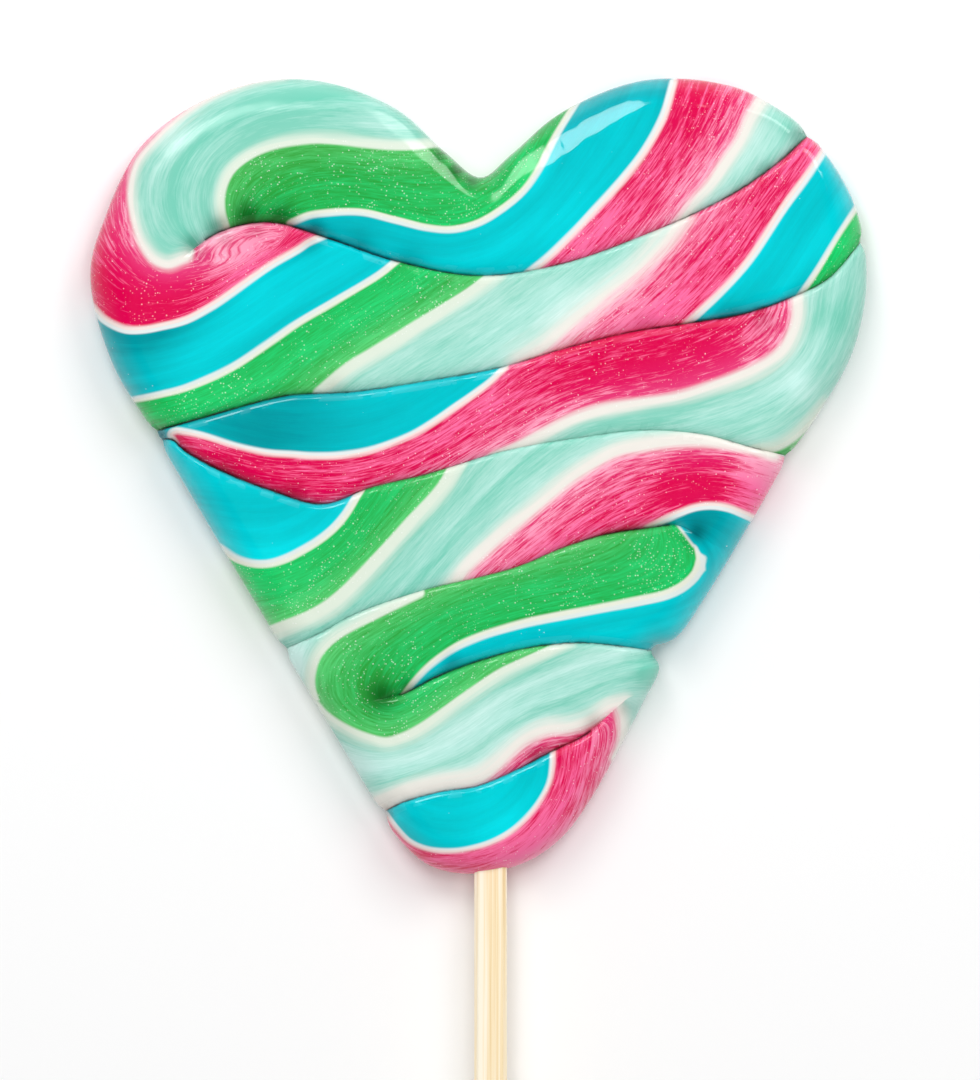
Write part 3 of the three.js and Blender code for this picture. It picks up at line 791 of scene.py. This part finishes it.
# %% How far the back's points are from its white and cream lines
LEAST_STEEP = 0.04
BACK_HALF_WIDTHS = np.array([0.35, 0.9, 0.7, 0.35])
BLEND_REACH = 2            # from the rim inwards, over which the front's lines give way
slopes = np.einsum("tid,ti->td", slope_of, back_number[triangles])
steepness = np.linalg.norm(slopes, axis=1)
weight = np.bincount(triangles.ravel(), np.repeat(area, 3), len(number))
steep = np.bincount(triangles.ravel(), np.repeat(area * steepness, 3), len(number))
steep = np.maximum(fill_in(steep / np.maximum(weight, 1e-9)), LEAST_STEEP)
nearest_line = np.round(back_number)
back_half_width = BACK_HALF_WIDTHS[nearest_line.astype(int) % TURN]
rim_share = np.clip(node_rim / BLEND_REACH, 0, 1)
back_gap = (back_number - nearest_line) / steep * (-1.0) ** nearest_line
back_gap = line_gap + rim_share * (back_gap - line_gap)
back_width = line_width + rim_share * (back_half_width - line_width)
print("the back's lines are", (2 * back_half_width.mean()).round(2), "mm wide on average")

# %% [markdown]
# ## The heart as a mesh
#
# The grids now become one closed mesh: the shown face, the back, and the rim where they meet.
# It is written straight from the arrays, which takes a moment, where bmesh would take minutes.
# What the shader needs is stored on the face corners, so that colours can jump at a crease
# while the surface stays whole.

# %% Points and faces
fit = (heart_high - heart_low)[:2] / np.ptp(outline, axis=0)
to_row = (heart_low[:2] + heart_high[:2]) / 2 - (outline.min(0) + outline.max(0)) / 2 * fit
print("fitted by", fit.round(4), "to the solid's own width and height")
inner = np.flatnonzero(~on_rim)
back_vertex = np.arange(len(places))
back_vertex[inner] = len(places) + np.arange(len(inner))
xy = places * fit + to_row
points = np.vstack([
    np.column_stack([xy, np.where(on_rim, MID, top_height)]),
    np.column_stack([xy[inner], bottom_height[inner]]),
]) * MM
quad_vertices = vertex_of[quads]
front_faces = []
for corners, nodes in zip(quad_vertices.tolist(), quad_nodes.tolist()):
    kept_at = [i for i in range(4) if corners[i] != corners[i - 1]]
    if len(kept_at) > 2:
        front_faces.append([(corners[i], nodes[i]) for i in kept_at])
print(len(points), "points,", 2 * len(front_faces), "faces")

# %% Build the mesh
def object_from(name, points, faces):
    mesh = bpy.data.meshes.new(name)
    mesh.from_pydata(np.array(points).tolist(), [], faces)
    mesh.shade_smooth()
    thing = bpy.data.objects.new(name, mesh)
    bpy.context.scene.collection.objects.link(thing)
    return thing


faces = [[vertex for vertex, _ in face] for face in front_faces]
faces += [[int(back_vertex[vertex]) for vertex, _ in reversed(face)] for face in front_faces]
heart = object_from("pulled_sugar_heart", points, faces)
print(len(faces), "faces,", sum(len(face) - 2 for face in faces), "triangles")

# %% What the shader needs, on the face corners
front_nodes = np.array([node for face in front_faces for _, node in face])
back_nodes = np.array([node for face in front_faces for _, node in reversed(face)])
NO_CREASE = 20.0                        # the gap where no crease comes near
TIGHT_DEPTH, LEAST_TIGHT = 1.1, 0.15
NIP_REACH = 1.2
gap_above = np.full(len(node_place), NO_CREASE)
gap_below = gap_above.copy()
nip = np.zeros(len(node_place))         # how tightly the nearest crease is pressed together
for k in range(len(creases)):
    gap = crease_gap[k, node_vertex] + NO_CREASE * (1 - crease_strength[k, node_vertex])
    tight = np.clip(crease_depth[k, node_vertex] / TIGHT_DEPTH, LEAST_TIGHT, 1)
    nip = np.where(crease_gap[k, node_vertex] < NIP_REACH, tight, nip)
    gap_below = np.where(node_row == k, gap, gap_below)
    gap_above = np.where(node_row == k + 1, gap, gap_above)
layers = {
    "stripe": (number, back_number),
    "line_gap": (line_gap, back_gap),
    "line_width": (line_width, back_width),
    "gap_below": (gap_below, gap_below),
    "gap_above": (gap_above, gap_above),
    "rim_gap": (node_rim, node_rim),
    "tone_and_painted_light": (tone_and_painted_light, tone_and_painted_light * (1 - rim_share)),
    "painted_fold_shade": (painted_fold_shade, painted_fold_shade * (1 - rim_share)),
    "nip": (nip, nip),
}
for name, (front_values, back_values) in layers.items():
    stored = heart.data.attributes.new(name, "FLOAT", "CORNER")
    values = np.concatenate([front_values[front_nodes], back_values[back_nodes]])
    stored.data.foreach_set("value", values.astype(np.float32))
print("layers:", ", ".join(layers))

# %% [markdown]
# ## Helpers for materials
#
# Materials here are node trees written in code. Small helpers add a node, set it and wire it
# in a single call, which keeps each recipe short enough to read at a glance.

# %% Colours and nodes
def linear(hex_colour):
    parts = [int(hex_colour[i:i + 2], 16) / 255 for i in (1, 3, 5)]
    parts = [p / 12.92 if p <= 0.04045 else ((p + 0.055) / 1.055) ** 2.4 for p in parts]
    return (*parts, 1.0)


def add(tree, kind, inputs=None, **settings):
    """A new node with its settings. An input gets a value, or a link from a socket."""
    node = tree.nodes.new("ShaderNode" + kind)
    for name, value in settings.items():
        setattr(node, name, value)
    for name, value in (inputs or {}).items():
        if isinstance(value, bpy.types.NodeSocket):
            tree.links.new(value, node.inputs[name])
        else:
            node.inputs[name].default_value = value
    return node


def maths(tree, operation, a, b=0.0, c=0.0, clamp=False):
    node = add(tree, "Math", {0: a, 1: b, 2: c}, operation=operation, use_clamp=clamp)
    return node.outputs[0]


def plus(tree, a, b, clamp=False):
    return maths(tree, "ADD", a, b, clamp=clamp)


def minus(tree, a, b, clamp=False):
    return maths(tree, "SUBTRACT", a, b, clamp=clamp)


def times(tree, a, b):
    return maths(tree, "MULTIPLY", a, b)


def ramp(tree, factor, stops, smooth=False):
    """A colour ramp from (position, colour or grey value) stops."""
    node = add(tree, "ValToRGB", {"Fac": factor})
    node.color_ramp.interpolation = "EASE" if smooth else "LINEAR"
    elements = node.color_ramp.elements
    while len(elements) < len(stops):
        elements.new(0.5)
    for element, (position, colour) in zip(elements, stops):
        element.position = position
        element.color = linear(colour) if isinstance(colour, str) else (colour,) * 3 + (1.0,)
    return node.outputs["Color"]


def mix(tree, share, a, b, blend="MIX"):
    a, b = (linear(colour) if isinstance(colour, str) else colour for colour in (a, b))
    node = add(tree, "Mix", {0: share, 6: a, 7: b}, data_type="RGBA", blend_type=blend)
    return node.outputs[2]


# %% Starting a material
def start_material(name, finish):
    """A new material, its node tree, and its shader with a plain finish."""
    material = bpy.data.materials.new(name)
    material.use_nodes = True
    tree = material.node_tree
    tree.nodes.clear()
    surface = add(tree, "OutputMaterial")
    shader = add(tree, "BsdfPrincipled", finish)
    tree.links.new(shader.outputs[0], surface.inputs[0])
    return material, tree, shader


def place_in_mm(tree):
    where = add(tree, "TexCoord").outputs["Object"]
    return add(tree, "VectorMath", {0: where, "Scale": 1 / MM}, operation="SCALE").outputs[0]


# %% [markdown]
# ## Fibres: a shared effect
#
# Pulled sugar and split wood look alike close up: both are bundles of fine lines that run
# together. Sugar gets them from being stretched and folded, wood from its grain. One node
# group makes such lines from coordinates that change quickly across the fibres and slowly
# along them, and each material places it with its own values.

# %% The group
fibres = bpy.data.node_groups.new("fibres", "ShaderNodeTree")
for name, kind in (("Across", "NodeSocketFloat"), ("Place", "NodeSocketVector"),
                   ("Fineness", "NodeSocketFloat"), ("Drift", "NodeSocketFloat")):
    fibres.interface.new_socket(name, in_out="INPUT", socket_type=kind)
for name in ("Fine", "Coarse"):
    fibres.interface.new_socket(name, in_out="OUTPUT", socket_type="NodeSocketFloat")
group_in, group_out = fibres.nodes.new("NodeGroupInput"), fibres.nodes.new("NodeGroupOutput")
across = times(fibres, group_in.outputs["Across"], group_in.outputs["Fineness"])
drifted = add(fibres, "VectorMath", {0: group_in.outputs["Place"],
                                     "Scale": group_in.outputs["Drift"]}, operation="SCALE")
drifts = add(fibres, "SeparateXYZ", {0: drifted.outputs[0]}).outputs
bundle = add(fibres, "CombineXYZ", {0: across, 1: drifts[0], 2: drifts[1]}).outputs[0]
for name, scale, detail, roughness in (("Fine", 1.0, 3.0, 0.65), ("Coarse", 0.23, 2.0, 0.5)):
    lines = add(fibres, "TexNoise", {"Vector": bundle, "Scale": scale, "Detail": detail,
                                     "Roughness": roughness})
    fibres.links.new(lines.outputs["Fac"], group_out.inputs[name])
print("group", fibres.name, "with", len(fibres.nodes), "nodes")

# %% [markdown]
# ## The candy
#
# Each colour of sugar behaves differently. Turquoise is clear and even. Green is clear with
# tiny bubbles. Mint was pulled until it turned satiny, and pink is a bundle of crimson and
# pale strands. White and cream sugar lie between them, crisp against turquoise and blurred
# into mint. All of it is glossy like glass. One material holds all this and picks a colour
# from the stripes' number, so that neighbouring colours share their streaks and gloss.

# %% Start the candy's material
candy, tree, sugar = start_material("pulled_sugar", {"IOR": 1.49})
where_mm = place_in_mm(tree)


def layer(name):
    return add(tree, "Attribute", attribute_name=name).outputs["Fac"]


stripe, rim_distance = layer("stripe"), layer("rim_gap")
gap_to_cream = minus(tree, maths(tree, "ABSOLUTE", layer("line_gap")), layer("line_width"))
below_distance, above_distance = layer("gap_below"), layer("gap_above")
in_turn = maths(tree, "DIVIDE", maths(tree, "FLOORED_MODULO", stripe, float(TURN)), float(TURN))


def by_colour(pink, mint, green, turquoise, blend=0.004):
    """A grey value that depends on the colour of the sugar."""
    values = (pink, mint, green, turquoise)
    stops = [(0.25 * i + side, value) for i, value in enumerate(values)
             for side in (blend * (i > 0), 0.25 - blend * (i < 3))]
    return ramp(tree, in_turn, stops)


def centred(value, share):
    return times(tree, minus(tree, value, 0.5), share)


def noise(scale, detail=2.0):
    settings = {"Vector": where_mm, "Scale": scale, "Detail": detail}
    return add(tree, "TexNoise", settings).outputs["Fac"]


# %% Streaks that flow with the stripes
def fibres_of(across, place, fineness, drift):
    node = add(tree, "Group", {"Across": across, "Place": place, "Fineness": fineness,
                               "Drift": drift}, node_tree=fibres)
    return node.outputs["Fine"], node.outputs["Coarse"]


hair, strand = fibres_of(stripe, where_mm, 46.0, 0.35)
_, swathe = fibres_of(stripe, where_mm, 17.0, 0.07)

# %% Deep and light sugar of every colour
deep = ramp(tree, in_turn, [
    (0.0, "#E03A78"), (0.02, "#DC0450"), (0.1, "#DC004C"), (0.17, "#E0145E"), (0.249, "#E84A86"),
    (0.251, "#8AD0BE"), (0.36, "#70C9B2"), (0.499, "#82CDB8"),
    (0.501, "#3CA442"), (0.62, "#26A03C"), (0.749, "#1CA040"),
    (0.751, "#009099"), (0.999, "#00959F")])
light = ramp(tree, in_turn, [
    (0.0, "#FFA4C2"), (0.02, "#FA6EA0"), (0.1, "#FA6CA2"), (0.17, "#FA90B4"), (0.249, "#FFBCD0"),
    (0.251, "#D8F2EC"), (0.36, "#C6F0E8"), (0.499, "#CEEEE6"),
    (0.501, "#66D278"), (0.62, "#28D072"), (0.749, "#16D06E"),
    (0.751, "#00DDE6"), (0.999, "#00DEE8")])
tone = by_colour(0.48, 0.36, 0.5, 0.58)
for streaks, contrast, shares in ((hair, 4.6, (0.9, 0.21, 0.46, 0.06)),
                                  (strand, 4.0, (0.35, 0.14, 0.16, 0.06)),
                                  (swathe, 3.2, (0.25, 0.5, 0.25, 0.25))):
    tone = plus(tree, tone, times(tree, centred(streaks, contrast), by_colour(*shares)))
# Patches of the sugar's own tone, and of painted highlight and painted shade
tone = plus(tree, tone, layer("tone_and_painted_light"), clamp=True)
coloured = mix(tree, tone, deep, light)

# %% White and cream sugar between the colours
cream = ramp(tree, in_turn, [
    (0.0, "#F2E0DA"), (0.12, "#F0E2DE"), (0.25, "#ECE8E0"), (0.4, "#DEE8DC"), (0.5, "#DCE8D8"),
    (0.62, "#DFE8D6"), (0.749, "#E4E8D8"), (0.751, "#DDE8E4"), (1.0, "#E4EAEA")])
spread_mm = ramp(tree, in_turn, [
    (0.0, 0.3), (0.02, 0.25), (0.2, 0.6), (0.249, 0.6), (0.251, 0.9), (0.499, 0.7),
    (0.501, 0.2), (0.749, 0.18), (0.751, 0.18), (0.999, 0.16)])
blur = times(tree, spread_mm, 2.0)
ragged = times(tree, centred(strand, 1.0), blur)
creamy = maths(tree, "DIVIDE", plus(tree, gap_to_cream, ragged), blur)
creamy = minus(tree, 0.5, creamy, clamp=True)
creamy = ramp(tree, creamy, [(0.0, 0.0), (1.0, 1.0)], smooth=True)
coloured = mix(tree, creamy, coloured, cream)

# %% Bubbles
bubbles = add(tree, "TexVoronoi", {"Vector": where_mm, "Scale": 3.7, "Randomness": 1.0})
swarm = ramp(tree, noise(0.22), [(0.42, 0.3), (0.6, 1.3)])
chances = add(tree, "SeparateXYZ", {0: bubbles.outputs["Color"]})
size = maths(tree, "MULTIPLY_ADD", chances.outputs[2], 1.1, 0.5)
dot = maths(tree, "DIVIDE", bubbles.outputs["Distance"], size)
dot = ramp(tree, dot, [(0.1, 1.0), (0.27, 0.0)])
often = times(tree, swarm, by_colour(0.4, 0.0, 0.8, 0.005))
shown = maths(tree, "LESS_THAN", chances.outputs[0], often)
shown = times(tree, times(tree, dot, shown), chances.outputs[1])
coloured = mix(tree, times(tree, shown, 0.6), coloured, "#FFFFFF")

# %% Painted shade at the rim
# The colour is painted darker towards the rim, as shade where the face rolls away from the light;
# every colour deepens towards its own strongest tone.
SHADE_MM = 4.0             # a ramp of shade runs over this distance


def shade_by(distance, stops):
    return ramp(tree, maths(tree, "DIVIDE", distance, SHADE_MM), stops)


# The colour's own strongest tone, which the painted shade at the rim and in the creases darkens
# towards
deeper = mix(tree, 1.0, coloured, coloured, "MULTIPLY")
painted_rim_shade = shade_by(rim_distance, [(0.0, 0.75), (0.05, 0.82), (0.12, 0.94), (0.2, 1.0)])
coloured = mix(tree, painted_rim_shade, deeper, coloured)

# %% Painted shade in the creases
# Light is lost in a crease, so shade is painted into the colour there. It is wide where the upper
# row rolls over and narrow below it.
fold_shade_colour = mix(tree, 0.6, deeper, "#5A4640", "MULTIPLY")
looseness = times(tree, minus(tree, 1.0, layer("nip")), 0.5)
wander = plus(tree, centred(noise(0.9), 0.6), looseness)
over_shade = shade_by(plus(tree, below_distance, wander), [
    (0.0, 0.1), (0.03, 0.4), (0.08, 0.76), (0.2, 0.93), (0.4, 1.0)])
under_shade = shade_by(plus(tree, above_distance, looseness), [
    (0.0, 0.1), (0.02, 0.5), (0.045, 0.88), (0.12, 1.0)])
openness = times(tree, over_shade, under_shade)
# Painted shade in the folds and on the sloping band
openness = times(tree, openness, minus(tree, 1.0, layer("painted_fold_shade")))
coloured = mix(tree, openness, fold_shade_colour, coloured)

# %% The painted dark line of shade in a crease, thin and uneven
is_over = maths(tree, "LESS_THAN", below_distance, above_distance)
nearest_crease = maths(tree, "MINIMUM", above_distance, below_distance)
row_side = maths(tree, "MULTIPLY_ADD", is_over, 2.0, -1.0)
across_crease = times(tree, nearest_crease, row_side)
across_crease = plus(tree, across_crease, centred(noise(1.3, 3.0), 0.35))
across_crease = maths(tree, "ABSOLUTE", across_crease)
crease_line_shade = ramp(tree, across_crease, [(0.0, 1.0), (0.05, 0.8), (0.12, 0.0)])
patchy = noise(0.5)
strength = times(tree, ramp(tree, patchy, [(0.38, 0.2), (0.6, 0.85)]), layer("nip"))
coloured = mix(tree, times(tree, crease_line_shade, strength), coloured, "#33282A")
tree.links.new(coloured, sugar.inputs["Base Color"])

# %% Gloss, and the fine relief of the strands
beside_crease = ramp(tree, nearest_crease, [(0.0, 0.45), (0.9, 0.45), (1.2, 0.0)])
dull = times(tree, beside_crease, ramp(tree, patchy, [(0.48, 1.0), (0.54, 0.0)]))
roughness = plus(tree, by_colour(0.12, 0.22, 0.16, 0.08), dull)
tree.links.new(roughness, sugar.inputs["Roughness"])
hair_height = times(tree, hair, by_colour(1.0, 0.9, 0.5, 0.1))
relief = add(tree, "Bump", {"Strength": 0.3, "Distance": 0.012 * MM, "Height": hair_height})
tree.links.new(relief.outputs[0], sugar.inputs["Normal"])
heart.data.materials.append(candy)
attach(heart, "root")
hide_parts("candy_heart")
print("candy material with", len(tree.nodes), "nodes")

# %% [markdown]
# ## The stick
#
# The stick is a square bar of pale birch with eased corners, and its solid already has the
# true shape, so it stays as it is and only gets a finish: fine straight grain along its
# length, a little darker here and there, and paler towards its left side.

# %% Wood
wood, tree, timber = start_material("birch", {"Roughness": 0.62, "IOR": 1.45})
axes = add(tree, "SeparateXYZ", {0: place_in_mm(tree)})
lengthwise = add(tree, "CombineXYZ", {0: axes.outputs[1], 1: axes.outputs[2]}).outputs[0]
grain, _ = fibres_of(axes.outputs[0], lengthwise, 3.4, 0.03)
across_bar = add(tree, "SeparateXYZ", {0: add(tree, "TexCoord").outputs["Generated"]}).outputs[0]
# The colour is paler towards the bar's left side
pale_side = ramp(tree, across_bar, [(0.2, 0.14), (0.42, 0.0)])
timber_tone = plus(tree, grain, pale_side)
timber_colour = ramp(tree, timber_tone, [(0.3, "#EFD3A0"), (0.46, "#F8E2B8"), (0.66, "#FFF4DE")])
tree.links.new(timber_colour, timber.inputs["Base Color"])
relief = add(tree, "Bump", {"Strength": 0.3, "Distance": 0.1 * MM, "Height": grain})
tree.links.new(relief.outputs[0], timber.inputs["Normal"])
stick_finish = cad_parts["stick"].data.materials
stick_finish.clear()
stick_finish.append(wood)
print("wood material with", len(tree.nodes), "nodes")

# %% [markdown]
# ## Floor, light and camera
#
# The lollipop lies on a white table under soft studio light, and the camera looks straight
# down on it. Two lamps beyond the top of the heart glide along the shoulders that face them,
# and a third one lights everything from above. The flat face mirrors only the dark hole in
# the tent, so that its colours stay clean.

# %% A white table
TABLE_REACH = 1.5
UNDER_CANDY = 0.2 * MM             # so that the table and the candy's back don't touch
SQUARE = ((-1, -1), (1, -1), (1, 1), (-1, 1))
table_corners = [(x * TABLE_REACH, y * TABLE_REACH, 0) for x, y in SQUARE]
floor = object_from("table", table_corners, [(0, 1, 2, 3)])
floor.location.z = -UNDER_CANDY
paint = start_material("white_table", {"Base Color": (0.95, 0.95, 0.95, 1), "Roughness": 0.9})[0]
floor.data.materials.append(paint)
print("a table", 2 * TABLE_REACH, "m wide")

# %% Lamps
# Sizes are in metres. Each side lamp has its turn from straight ahead in degrees, how far
# beyond the heart's middle it stands, and how high.
SIDE_LAMPS = [("left_lamp", -28, 0.4, 0.6), ("right_lamp", 38, 0.46, 0.56)]
SIDE_SIZE, SIDE_WATTS = (0.24, 0.36), 1.8
OVERHEAD_PLACE, OVERHEAD_SIZE, OVERHEAD_WATTS = (0, 0.02, 1.0), (0.5, 0.5), 4.1
heart_middle = (heart_low + heart_high) / 2 * MM


def soft_lamp(name, place, size, watts):
    lamp = bpy.data.lights.new(name, "AREA")
    lamp.shape, lamp.energy = "RECTANGLE", watts
    lamp.size, lamp.size_y = size
    holder = bpy.data.objects.new(name, lamp)
    holder.location = heart_middle + np.array(place)
    aim = bpy.data.objects.new(name + "_aim", None)
    aim.location = heart_middle
    track = holder.constraints.new("TRACK_TO")
    track.target, track.track_axis, track.up_axis = aim, "TRACK_NEGATIVE_Z", "UP_Y"
    bpy.context.scene.collection.objects.link(holder)
    bpy.context.scene.collection.objects.link(aim)
    return holder


for name, turn, reach, height in SIDE_LAMPS:
    sideways, beyond = math.sin(math.radians(turn)), math.cos(math.radians(turn))
    soft_lamp(name, (reach * sideways, reach * beyond, height), SIDE_SIZE, SIDE_WATTS)
overhead = soft_lamp("overhead_lamp", OVERHEAD_PLACE, OVERHEAD_SIZE, OVERHEAD_WATTS)
overhead.visible_glossy = False     # it hangs behind the dark hole, so nothing mirrors it
print(len(SIDE_LAMPS) + 1, "lamps")

# %% A light tent with a dark hole above, for the camera
TENT_STRENGTH = 0.75
world = bpy.data.worlds.new("tent")
world.use_nodes = True
tent = world.node_tree
upwards = add(tent, "SeparateXYZ", {0: add(tent, "TexCoord").outputs["Generated"]}).outputs[2]
glow = ramp(tent, upwards, [
    (0.0, 1.0), (0.12, 1.0), (0.22, 0.6), (0.5, 0.45), (0.65, 0.28), (0.85, 0.08), (1.0, 0.0)])
tent.links.new(glow, tent.nodes["Background"].inputs["Color"])
tent.nodes["Background"].inputs["Strength"].default_value = TENT_STRENGTH
bpy.context.scene.world = world

# %% Camera
LENS, SENSOR = 260, 36
VIEW_HEIGHT = 129.6 * MM           # what the view takes in from top to bottom, at half height
VIEW_MIDDLE = (1.44, -7.8)         # from the heart's middle, in mm
view_lens = bpy.data.cameras.new("camera")
view_lens.lens, view_lens.sensor_width = LENS, SENSOR
camera = bpy.data.objects.new("camera", view_lens)
view_x, view_y = (np.array(VIEW_MIDDLE) + to_row) * MM
camera.location = (view_x, view_y, MID * MM + LENS / SENSOR * VIEW_HEIGHT)
bpy.context.scene.collection.objects.link(camera)
bpy.context.scene.camera = camera
bpy.context.scene.view_settings.view_transform = "Standard"


bpy.context.view_layer.update()
